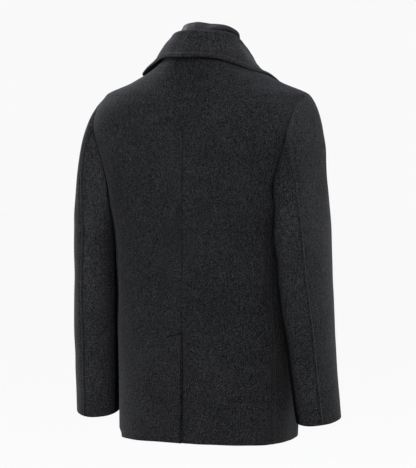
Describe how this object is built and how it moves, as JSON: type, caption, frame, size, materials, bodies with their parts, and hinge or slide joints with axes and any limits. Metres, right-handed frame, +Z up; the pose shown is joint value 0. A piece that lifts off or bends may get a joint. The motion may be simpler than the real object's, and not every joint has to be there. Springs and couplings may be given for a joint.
{
  "type": "pea coat",
  "caption": "Double-breasted wool pea coat, filled out as worn: notch lapels, turned-down collar with a smooth neck band, two-piece sleeves, slanted pocket welts and a back vent.",
  "frame": {"origin": "middle of the wearer's neck base, at the height where the shoulder seams meet the collar", "axes": "+Z up, -Y the way the wearer faces, +X the wearer's left"},
  "size_m": [0.5837, 0.2532, 0.8307],
  "materials": {
    "wool": "charcoal melange melton with a short raised nap",
    "leather": "smooth dark grey, soft sheen",
    "horn": "dark horn, half polished"
  },
  "bodies": {
    "root": {"back_left": "wool", "front_left": "wool", "top_sleeve_left": "wool", "under_sleeve_left": "wool", "lapel_left": "wool", "pocket_welt_left": "wool", "back_right": "wool", "front_right": "wool", "top_sleeve_right": "wool", "under_sleeve_right": "wool", "lapel_right": "wool", "pocket_welt_right": "wool", "collar_stand": "wool", "collar": "wool", "neck_band": "leather", "button_left_1": "horn", "button_left_2": "horn", "button_left_3": "horn", "button_right_1": "horn", "button_right_2": "horn", "button_right_3": "horn"}
  },
  "joints": []
}
